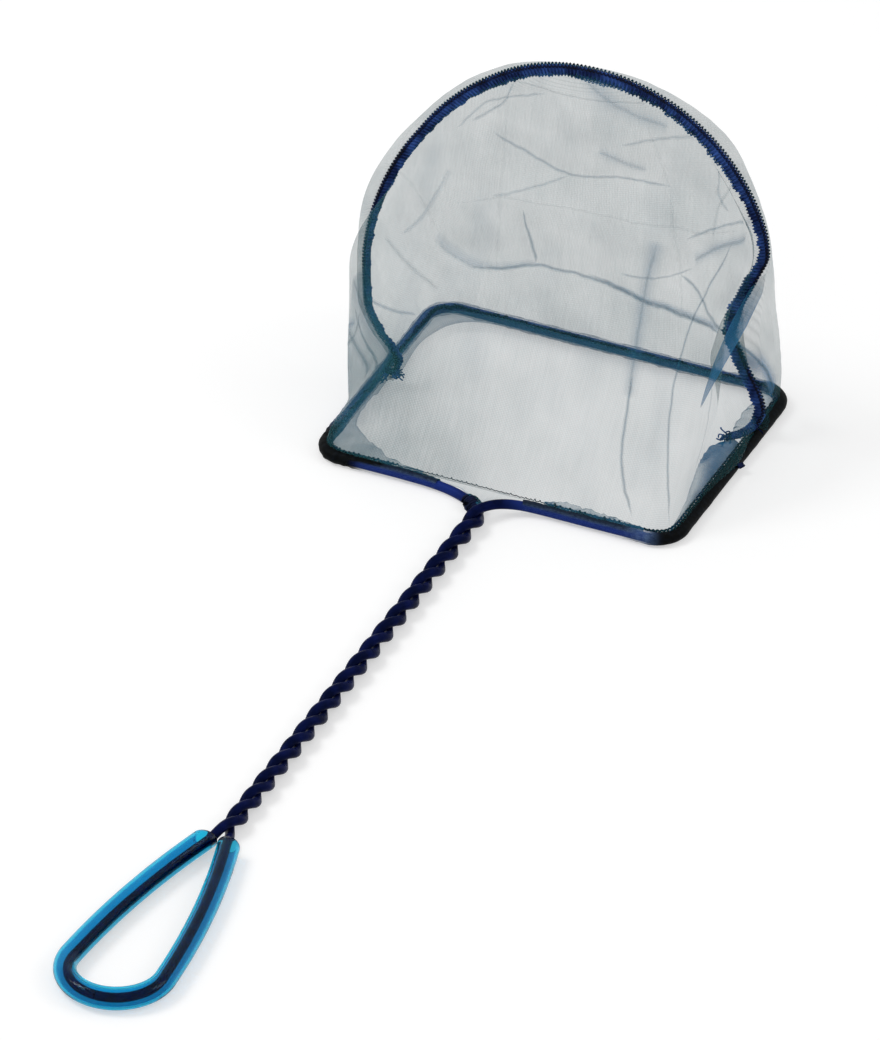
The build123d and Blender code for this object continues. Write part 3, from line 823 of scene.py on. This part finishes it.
def seamWidthAt(share, seed):
    # its own width at each place, ragged from stitch to stitch
    draw = np.random.default_rng(seed).normal(0, 1, stitches + 2)
    ragged = np.interp(share * stitches, np.arange(stitches + 2), draw) * seam["ragged"]
    return seam["width"] * np.interp(share, seamGirth[:, 0], seamGirth[:, 1]) + ragged * 0.5


def overlock():
    # thread wound round the seam's edge, one turn to a stitch
    count = stitches * seam["steps"]
    local, inward, share = seamFrame(count)
    turn = share * stitches * 2 * np.pi
    width = seamWidthAt(share, 5)
    drop = bag["seamDrop"] + width * (0.5 - 0.5 * np.cos(turn))
    front = (seam["thickness"] / 2 + seam["thread"]) * np.sin(turn)
    return seamPlace(local, inward, drop, front)


def needleChain(front):
    # looped chain of the needle thread along the seam's outer edge
    count = stitches * seam["steps"]
    local, inward, share = seamFrame(count)
    turn = share * stitches * 2 * np.pi
    drop = bag["seamDrop"] + 0.15 + seam["chain"] * np.sin(turn)
    depth = front * (seam["thickness"] / 2 + 0.28) + 0.12 * np.cos(2 * turn)
    return seamPlace(local, inward, drop, depth)


def seamCore():
    # flat folded edge: an oval carried along the arch
    local, inward, share = seamFrame(seam["coreSteps"])
    width = seamWidthAt(share, 5) * 0.94
    rings = []
    for angle in around(seam["coreSides"]):
        drop = bag["seamDrop"] + width * (0.5 - 0.5 * np.cos(angle))
        rings.append(seamPlace(local, inward, drop, seam["thickness"] / 2 * np.sin(angle)))
    return np.stack(rings, 1)


def picotRun(start, end):
    # loose loops of paler thread along a stretch of the seam's inner edge
    share = np.linspace(start, end, int((end - start) * stitches) * seam["steps"])
    local, inward, spots = seamFrame(2000)
    local, inward = between(share, spots, local), between(share, spots, inward)
    turn = share * stitches * 2 * np.pi
    reach = 0.3 + 0.2 * waves(share * archLength, 0, 8, 2.5, 15.0, 90)
    drop = bag["seamDrop"] + seamWidthAt(share, 5) - 0.2 + reach * (0.5 - 0.5 * np.cos(turn))
    moved = local + inward * drop[:, None]
    moved[:, 1] += 0.25 * np.sin(turn) + 0.35
    return archInSpace(moved, share=share)


threadNavy = seamThread("threadNavy", (0.008, 0.022, 0.105, 1), (0.055, 0.14, 0.48, 1))
threadDark = seamThread("threadDark", (0.001, 0.002, 0.008, 1), (0.004, 0.012, 0.06, 1))
seamBand = addGrid("seamBand", seamCore(), aroundClosed=True, capped=True)
mount(seamBand, threadNavy, "seam_thread", "arch_seam")
overlockThread = addTube("overlockThread", overlock(), seam["thread"], seam["sides"], archFront)
mount(overlockThread, threadNavy, "seam_thread")
chains = []
for number, front in enumerate((-1, 1)):
    chains.append(addTube(f"needleChain{number}", needleChain(front), seam["chainThread"], seam["sides"], archFront))
    mount(chains[-1], threadDark, "seam_thread")
threadPale = seamThread("threadPale", (0.03, 0.12, 0.4, 1), (0.25, 0.45, 0.72, 1))
for number, (start, end) in enumerate(seam["picots"]):
    chains.append(addTube(f"picots{number}", picotRun(start, end), seam["picotThread"], seam["sides"], archFront))
    mount(chains[-1], threadPale, "seam_thread")
print("seam made")


# Hems: net turned over the rails, and the stitches that close them

# cornerShade: how far in mm the painted shade reaches round the outer corners
hem = {"radius": 1.75, "sides": 20, "step": 0.5, "creases": 0.14, "cornerShade": 13.0,
       "bendPoints": 16}  # the points of each bend at the handle that it still covers


def hemPiece(name, line, seed, node, material):
    # wrinkled tube round a rail; painted shade turns it black round the outer corners, on the right rail and on top of
    # the front rail, and it thins on the front rail's lit lower side
    path = evenPath(line, hem["step"])
    rings = tubeRings(path, hem["radius"], hem["sides"], np.array((0, 0, 1.0)))
    along = np.arange(len(path))[:, None] * hem["step"]
    girth = around(hem["sides"])[None] * hem["radius"]
    out = unit(rings - path[:, None])
    x, y = path[:, 0:1], path[:, 1:2]
    rightRail = smooth((x - railX + 9) / 6)
    crease = hem["creases"] * waves(along + 0.6 * girth, girth, 16, 1.5, 12.0, seed) * (1 - 0.7 * rightRail)
    rings = rings + out * np.clip(crease, -0.28, 0.28)[..., None]
    rings[..., 2] = np.maximum(rings[..., 2], 0.02)
    # painted light and shade: the front rail's lit lower outer side shows the wire; its top, the outer corners and the
    # right rail are painted black
    onFront = smooth((frontY + 3 - y) / 3) * smooth((railX - 7 - np.abs(x)) / 7)
    leftCorner = smooth(1.6 - np.hypot(x + railX, y - frontY) / hem["cornerShade"])
    litSide = onFront * smooth((-out[..., 1] * 0.8 - out[..., 2] * 0.75 + 0.25) / 0.4)
    shadeBlack = np.clip(np.maximum(leftCorner, rightRail) + onFront * (1 - litSide) * 0.9, 0, 1) + 0 * crease
    uv = np.stack(np.broadcast_arrays(along, girth), -1)
    piece = addGrid(name, rings, aroundClosed=True, uv=uv, values={"shadeBlack": shadeBlack, "litSide": litSide})
    return mount(piece, material, "net_hem", node)


hemCloth = hemMesh()
railDrop = np.array([0, 0, bag["edge"] - wire["railHeight"]])
frontHalf = railEven(-1, 700) - railDrop
rearHalf = railEven(1, 700) - railDrop
flareEnds = [(side * wire["flareStart"][side], frontY, wire["railHeight"]) for side in (-1, 1)]
leftEnd, rightEnd = [np.argmin(np.linalg.norm(frontHalf - end, axis=1)) for end in flareEnds]
leftLine = np.concatenate([frontHalf[1:leftEnd], wireHalf(-1)[:hem["bendPoints"]]])
rightLine = np.concatenate([frontHalf[rightEnd:-1][::-1], wireHalf(1)[:hem["bendPoints"]]])
frontLeftHem = hemPiece("frontLeftHem", leftLine, 41, "front_left_hem", hemCloth)
frontRightHem = hemPiece("frontRightHem", rightLine, 42, "front_right_hem", hemCloth)
rearHem = hemPiece("rearHem", rearHalf[1:-1], 43, "rear_hem", hemCloth)

# turned-in edges of the net inside the rails: points on the rail, and the loose edge opposite each
flaps = {
    "leftFlap": ([(-50, 122.5), (-50, 108), (-50, 98), (-49.6, 91), (-46.6, 84.8),
                  (-40, 83.4), (-34, 83.4), (-28, 83.6), (-20, 83.6)],
                 [(-45.6, 122), (-46.6, 108), (-46, 99), (-43.5, 95), (-38.5, 92.4),
                  (-34.5, 89.6), (-31, 87), (-27, 85.6), (-20, 84.6)]),
    "rightFlap": ([(48.4, 86), (48.4, 95), (48.4, 105), (48.4, 115), (48.4, 122), (48.4, 127), (48.4, 131)],
                  [(48.6, 86.5), (47.4, 95), (45.4, 105), (43.2, 115), (41.5, 122.6), (42.6, 126.6), (44.6, 129.6)]),
    "humpFlap": ([(14, 84), (20, 83.6), (28, 83.6), (36, 83.6), (42, 83.8)],
                 [(14, 84.8), (18, 87.6), (26, 86.8), (34, 86.2), (42, 84.6)]),
    "rearRightFlap": ([(49, 132), (49.6, 137), (50, 143), (50, 148), (48, 154)],
                      [(46, 131), (44, 136.5), (43.6, 143), (44, 149), (44, 153)]),
    "rearFlap": ([(-50, 119), (-49.4, 135), (-49, 146), (-47.6, 153), (-42, 157.4),
                  (-25, 157.6), (0, 157.6), (25, 157.6), (41, 157.4)],
                 [(-44.8, 119.5), (-45.4, 135), (-44.6, 144), (-43, 149.6), (-37, 153.4),
                  (-25, 154.2), (0, 153.6), (25, 154.6), (40, 154.8)])}
# how wide the deep blue beside the rail is, and how dense the rest
flapTone = {"leftFlap": (1.6, 0.14), "rightFlap": (2.7, 0.1), "humpFlap": (2.0, 0.12), "rearRightFlap": (2.0, 0.12),
            "rearFlap": (0.8, 0.06)}
# heights in mm at the rail, in the middle's arch and of the loose edge above the rail; ripple as a share of the width
flapForm = {"rail": 2.6, "belly": 1.2, "rise": 0.6, "ripple": 0.12, "least": 0.4, "rows": 12, "columns": 120}


def flapPiece(name, railSide, looseSide, seed):
    # straight strips from the rail to the loose edge, arched a little and rippled along the edge
    count = flapForm["columns"]
    t = np.linspace(0, 1, flapForm["rows"])[:, None]
    rail, loose = [evenPoints(roundedLine(line, 2), count) for line in (railSide, looseSide)]
    flat = rail * (1 - t[..., None]) + loose * t[..., None]
    along = np.linspace(0, 100, count)[None]
    wave = waves(along, 12 * t, 12, 6, 30, seed)
    width = np.linalg.norm(loose - rail, axis=1)[None]
    ripple = t * np.minimum(width, 5) * flapForm["ripple"] * wave
    height = flapForm["rail"] + flapForm["belly"] * np.sin(np.pi * t) + ripple + flapForm["rise"] * t
    points = np.concatenate([flat, np.maximum(height, flapForm["least"])[..., None]], -1)
    if np.cross(points[1, 0] - points[0, 0], points[0, 1] - points[0, 0])[2] > 0:
        points = points[:, ::-1]
    deep, dense = flapTone[name]
    looseEdge = smooth((t * width - width + 0.6) / 0.5)
    fold = dense + 0.5 * smooth((deep - t * width) / 2.6) + 0.12 * looseEdge + 0.05 * wave
    uv = np.stack(np.broadcast_arrays(along * width.max() / 8, t * width.max()), -1)
    piece = addGrid(name, points, uv=uv, values={"fold": np.clip(fold, 0, 1)})
    return mount(piece, netFlap, "net_hem")


netFlap = netMesh("netFlap", 0.3, 0.95, (0.03, 0.16, 0.26, 1), (0.02, 0.13, 0.3, 1))
flapPieces = [flapPiece(name, *sides, 60 + k) for k, (name, sides) in enumerate(flaps.items())]


def gussetPiece(material):
    # net between the panel's straight edge and the two wires that bend out to the handle
    x = np.linspace(-wire["flareStart"][-1] + 0.4, wire["flareStart"][1] - 0.4, 90)
    bendPoints = 38  # of each wire, from the front rail to the handle
    bends = np.concatenate([wireHalf(-1)[:bendPoints], wireHalf(1)[:bendPoints][::-1]])
    order = np.argsort(bends[:, 0])
    edge = np.interp(x, bends[order, 0], bends[order, 1])
    t = np.linspace(0, 1, 14)[:, None]
    y = (frontY + 0.6) * (1 - t) + np.minimum(edge, frontY + 0.6) * t
    height = bag["edge"] - 0.4 * t + 0.12 * waves(x[None], y, 10, 3.0, 14.0, 77)
    points = np.stack(np.broadcast_arrays(x[None], y, height), -1)
    shade = 0.1 * np.clip(waves(x[None], y, 10, 3.0, 12.0, 78), 0, 2) + 0.35 * smooth((t - 0.8) / 0.2)
    values = {"fold": np.broadcast_to(shade, y.shape)[:, ::-1]}
    piece = addGrid("gusset", points[:, ::-1], uv=points[..., :2][:, ::-1], values=values)
    return mount(piece, material, "net_mesh")


gusset = gussetPiece(netCloth)

stitching = {"run": 175, "pitch": 1.3, "steps": 8, "sides": 5, "thread": 0.3, "swing": 0.3, "lift": 0.25,
             "angle": 48, "trim": 20}


def stitchLine(side, seed):
    # running zigzag on the hem's inner shoulder
    count = int(stitching["run"] / stitching["pitch"]) * stitching["steps"]
    rail = railEven(side, count) - railDrop
    tangent = unit(np.gradient(rail, axis=0))
    inner = np.cross(tangent, (0, 0, 1.0)) * side
    turn = np.linspace(0, count / stitching["steps"] * 2 * np.pi, count)
    draw = np.random.default_rng(seed).normal(0, 1, count // stitching["steps"] + 2)
    loose = np.interp(turn / (2 * np.pi), np.arange(len(draw)), draw)
    angle = np.radians(stitching["angle"]) + (stitching["swing"] * np.sin(turn) + 0.16 * loose) / hem["radius"]
    reach = hem["radius"] + 0.25 + stitching["lift"] * np.clip(np.cos(turn), 0, 1) * (1 + 0.4 * loose)
    line = rail + inner * (reach * np.cos(angle))[:, None] + np.outer(reach * np.sin(angle), (0, 0, 1))
    return line[stitching["trim"]:-stitching["trim"]]


frontLine = stitchLine(-1, 51)
x, y = frontLine[:, 0], frontLine[:, 1]
overGap = smooth((x + wire["flareStart"][-1]) / 4) * smooth((wire["flareStart"][1] - x) / 4) * (y < mouthY)
frontThread = stitching["thread"] * (1 - 0.6 * overGap)  # thinner where it crosses the gap at the handle
frontStitches = addTube("frontStitches", frontLine, frontThread, stitching["sides"], (0, 0, 1))
mount(frontStitches, threadDark, "seam_thread", "front_hem_stitching")
rearStitches = addTube("rearStitches", stitchLine(1, 52), stitching["thread"], stitching["sides"], (0, 0, 1))
mount(rearStitches, threadDark, "seam_thread", "rear_hem_stitching")
print("hems made")


# Loose ends: frayed threads at the seam's feet, its last stitches along the right rail, and the knot at the handle

def joinTubes(name, paths, radii, sides):
    # circles along several paths, each closed at both ends, in one mesh
    points, faces, first = [], [], 0
    reference = np.array((0.3, 0.2, 1.0))
    for line, radius in zip(paths, radii):
        rings = tubeRings(line, radius, sides, reference)
        index = first + np.arange(len(line) * sides).reshape(len(line), sides)
        index = np.concatenate([index, index[:, :1]], 1)
        faces += gridFaces(index).tolist() + capFaces(index, sides)
        points.append(rings.reshape(-1, 3))
        first += len(line) * sides
    return addMesh(name, np.concatenate(points), faces)


def frayedThreads(centre, lean, count, length, seed):
    # short threads that leave one spot in a spray and curl
    draw = np.random.default_rng(seed)
    t = np.linspace(0, 1, 18)[:, None]
    paths = []
    for _ in range(count):
        way = unit(np.asarray(lean, float) + draw.normal(0, 0.7, 3))
        bend = draw.normal(0, 0.5, 3)
        curl = 0.28 * (draw.normal(0, 1, 3) * np.sin(5 * t) + draw.normal(0, 1, 3) * (np.cos(5 * t) - 1))
        reach = length * draw.uniform(0.4, 1.0)
        line = np.asarray(centre, float) + draw.normal(0, 0.4, 3) + reach * (way * t + bend * t**2) + curl
        line[:, 2] = np.maximum(line[:, 2], 0.6)
        paths.append(line)
    return paths


def windings(line, turns, width, depth):
    # thread wound round a short line
    t = np.linspace(0, 1, turns * 12)
    spots = np.linspace(0, 1, len(line))
    middle = between(t, spots, np.array(line, float))
    way = unit(np.gradient(middle, axis=0))
    side = unit(np.cross(way, (0, 0, 1.0)))
    turn = (t * turns * 2 * np.pi)[:, None]
    return middle + side * np.cos(turn) * width + np.array((0, 0, 1.0)) * np.sin(turn) * depth


rightTail = [(49.6, 141.5, 6.0), (49.4, 139.0, 4.9), (48.8, 135.6, 4.5), (47.2, 132.0, 4.6), (45.8, 130.4, 4.8)]
leftTail = [(-48.6, 121.6, 4.6), (-46.8, 121.4, 4.6), (-44.6, 120.6, 4.8)]
# windings and cores of the tails: line, turns, width, depth and thread radius
tails = [(rightTail, 18, 1.25, 0.5, 0.3), (leftTail, 6, 0.9, 0.5, 0.28),
         (rightTail, 2, 0.3, 0.1, 0.75), (leftTail, 2, 0.2, 0.1, 0.6)]
# sprays of frayed threads: start, lean, number, length and seed
sprays = [((45.4, 130.0, 4.8), (-0.7, -0.5, 0.1), 16, 1.7, 5), ((-44.2, 120.4, 4.8), (0.8, 0.1, 0.1), 22, 1.5, 6),
          ((-46.5, 119.5, 4.4), (0.6, -0.9, -0.1), 9, 1.8, 7)]
frayed = sum((frayedThreads(*spray) for spray in sprays), [])
paths = [windings(*tail[:4]) for tail in tails] + frayed
looseThreads = joinTubes("looseThreads", paths, [tail[4] for tail in tails] + [0.2] * len(frayed), 5)
mount(looseThreads, threadNavy, "seam_thread")
# windings at the handle: first and last point of the left bend, turns and reach
knotRuns = ((27, 36, 6, 1.55), (29, 34, 4, 2.0))
knotPaths = [windings(wireHalf(-1)[first:last], turns, reach, reach) for first, last, turns, reach in knotRuns]
handleKnot = joinTubes("handleKnot", knotPaths, [0.42, 0.36], 6)
mount(handleKnot, threadDark, "seam_thread")
railKnot = joinTubes("railKnot", [windings([(52.0, 121.8, 2.4), (52.6, 123.2, 2.4)], 4, 0.45, 0.45)], [0.32], 6)
mount(railKnot, threadDark, "seam_thread")
print("loose ends made")


def clothArea(piece):
    # all faces of a net panel, in square metres
    areas = np.empty(len(piece.data.polygons))
    piece.data.polygons.foreach_get("area", areas)
    return float(areas.sum())


print("cloth areas in square metres", clothArea(frontNet), clothArea(rearNet))
clothArea(frontNet)
clothArea(rearNet)


# Floor, light and camera

studio = {"floorSize": 12000.0, "floorBelow": 0.05, "floorGrey": 0.62, "floorGlow": 0.47, "sky": 0.55}


def studioFloor():
    # pale floor that keeps the shadow; what the camera and clear pieces see of it is lifted to white
    material, tree, shader = newMaterial("studioFloor")
    grey = studio["floorGrey"]
    feed(tree, shader, {"Base Color": (grey, grey, grey, 1), "Roughness": 0.9})
    strength = math(tree, "MULTIPLY", seenDirectly(tree), studio["floorGlow"])
    glow = addNode(tree, "ShaderNodeEmission", {"Color": (1, 1, 1, 1), "Strength": strength})
    both = addNode(tree, "ShaderNodeAddShader", {0: shader.outputs[0], 1: glow.outputs[0]})
    feed(tree, tree.nodes["Material Output"], {"Surface": both.outputs[0]})
    return material


floorCorners = np.array([[(-1, -1, 0), (1, -1, 0)], [(-1, 1, 0), (1, 1, 0)]], float) * studio["floorSize"]
floor = addGrid("floor", floorCorners[:, ::-1] - (0, 0, studio["floorBelow"]))
floor.data.materials.append(studioFloor())

world = bpy.data.worlds.new("studio")
bpy.context.scene.world = world
world.use_nodes = True
worldTree = world.node_tree
feed(worldTree, worldTree.nodes["Background"], {
    "Strength": ramp(worldTree, seenDirectly(worldTree), 0.0, 1.0, studio["sky"], 1.0), "Color": (1, 1, 1, 1)})

# each lamp's place and size in metres, and its power
lamps = {"key": ((-0.7, -0.2, 1.0), 0.5, 5.0), "fill": ((0.9, 0.3, 0.8), 0.6, 2.0)}
for name, (place, size, power) in lamps.items():
    light = bpy.data.lights.new(name, "AREA")
    light.shape = "DISK"
    light.size = size
    light.energy = power
    lamp = bpy.data.objects.new(name, light)
    lamp.location = place
    lamp.rotation_euler = (Vector((0, 0.05, 0)) - Vector(place)).to_track_quat("-Z", "Y").to_euler()
    bpy.context.scene.collection.objects.link(lamp)

shot = {"azimuth": 24.45, "elevation": 34.8, "distance": 6.0, "pixelsPerMm": 3.898, "aim": (-8.25, 68.6, 2.0),
        "imageHeight": 1040}
azimuth, elevation = np.radians(shot["azimuth"]), np.radians(shot["elevation"])
back = Vector((np.sin(azimuth) * np.cos(elevation), -np.cos(azimuth) * np.cos(elevation), np.sin(elevation)))
camera = bpy.data.cameras.new("camera")
camera.lens = shot["pixelsPerMm"] * shot["distance"] / mm / shot["imageHeight"] * camera.sensor_width
camera.clip_start, camera.clip_end = 0.1, 100.0
cameraObject = bpy.data.objects.new("camera", camera)
cameraObject.location = Vector(shot["aim"]) * mm + back * shot["distance"]
cameraObject.rotation_euler = (-back).to_track_quat("-Z", "Y").to_euler()
bpy.context.scene.collection.objects.link(cameraObject)
bpy.context.scene.camera = cameraObject
bpy.context.scene.view_settings.view_transform = "Standard"

print("scene ready")
